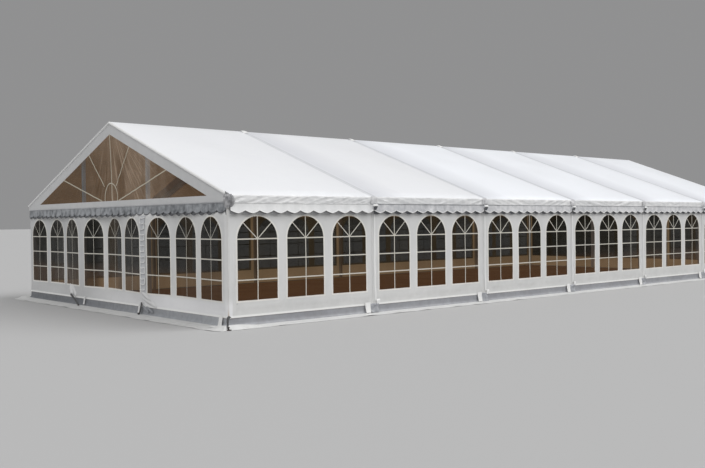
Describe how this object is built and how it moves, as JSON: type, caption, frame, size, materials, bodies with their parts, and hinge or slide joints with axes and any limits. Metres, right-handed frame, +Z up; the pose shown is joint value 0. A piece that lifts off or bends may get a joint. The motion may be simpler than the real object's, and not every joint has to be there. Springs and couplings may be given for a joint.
{
  "type": "frame marquee",
  "caption": "Pitched-roof frame marquee with arched window walls, clear gable triangles and scalloped valances on an aluminium portal frame.",
  "frame": {"origin": "on the ground, in the middle of the marquee's plan", "axes": "+X along the ridge, +Y across the span towards the rear eave, +Z up"},
  "size_m": [18.56, 9.56, 3.787],
  "materials": {
    "white_sheet": "satin PVC-coated polyester",
    "grey_sheet": "satin PVC-coated polyester",
    "clear_sheet": "clear flexible PVC",
    "aluminium": "mill finish extrusion",
    "matting": "coarse brown matting"
  },
  "bodies": {
    "root": {"floor": "matting", "front_eave_purlin": "aluminium", "front_skirt": "grey_sheet", "front_wall_1": "white_sheet", "front_wall_2": "white_sheet", "front_wall_3": "white_sheet", "front_wall_4": "white_sheet", "front_wall_5": "white_sheet", "front_wall_6": "white_sheet", "front_window_sheet": "clear_sheet", "left_end_frame": "aluminium", "left_gable_border": "white_sheet", "left_gable_clear_sheet": "clear_sheet", "left_gable_upright_1": "aluminium", "left_gable_upright_2": "aluminium", "left_gable_wall_1": "white_sheet", "left_gable_wall_2": "white_sheet", "left_gable_wall_3": "white_sheet", "left_gable_window_sheet": "clear_sheet", "left_skirt": "grey_sheet", "portal_frame_1": "aluminium", "portal_frame_2": "aluminium", "portal_frame_3": "aluminium", "portal_frame_4": "aluminium", "portal_frame_5": "aluminium", "rear_eave_purlin": "aluminium", "rear_skirt": "grey_sheet", "rear_wall_1": "white_sheet", "rear_wall_2": "white_sheet", "rear_wall_3": "white_sheet", "rear_wall_4": "white_sheet", "rear_wall_5": "white_sheet", "rear_wall_6": "white_sheet", "rear_window_sheet": "clear_sheet", "ridge_purlin": "aluminium", "right_end_frame": "aluminium", "right_gable_border": "white_sheet", "right_gable_clear_sheet": "clear_sheet", "right_gable_upright_1": "aluminium", "right_gable_upright_2": "aluminium", "right_gable_wall_1": "white_sheet", "right_gable_wall_2": "white_sheet", "right_gable_wall_3": "white_sheet", "right_gable_window_sheet": "clear_sheet", "right_skirt": "grey_sheet", "roof_cover_1": "white_sheet", "roof_cover_2": "white_sheet", "roof_cover_3": "white_sheet", "roof_cover_4": "white_sheet", "roof_cover_5": "white_sheet", "roof_cover_6": "white_sheet"}
  },
  "joints": []
}
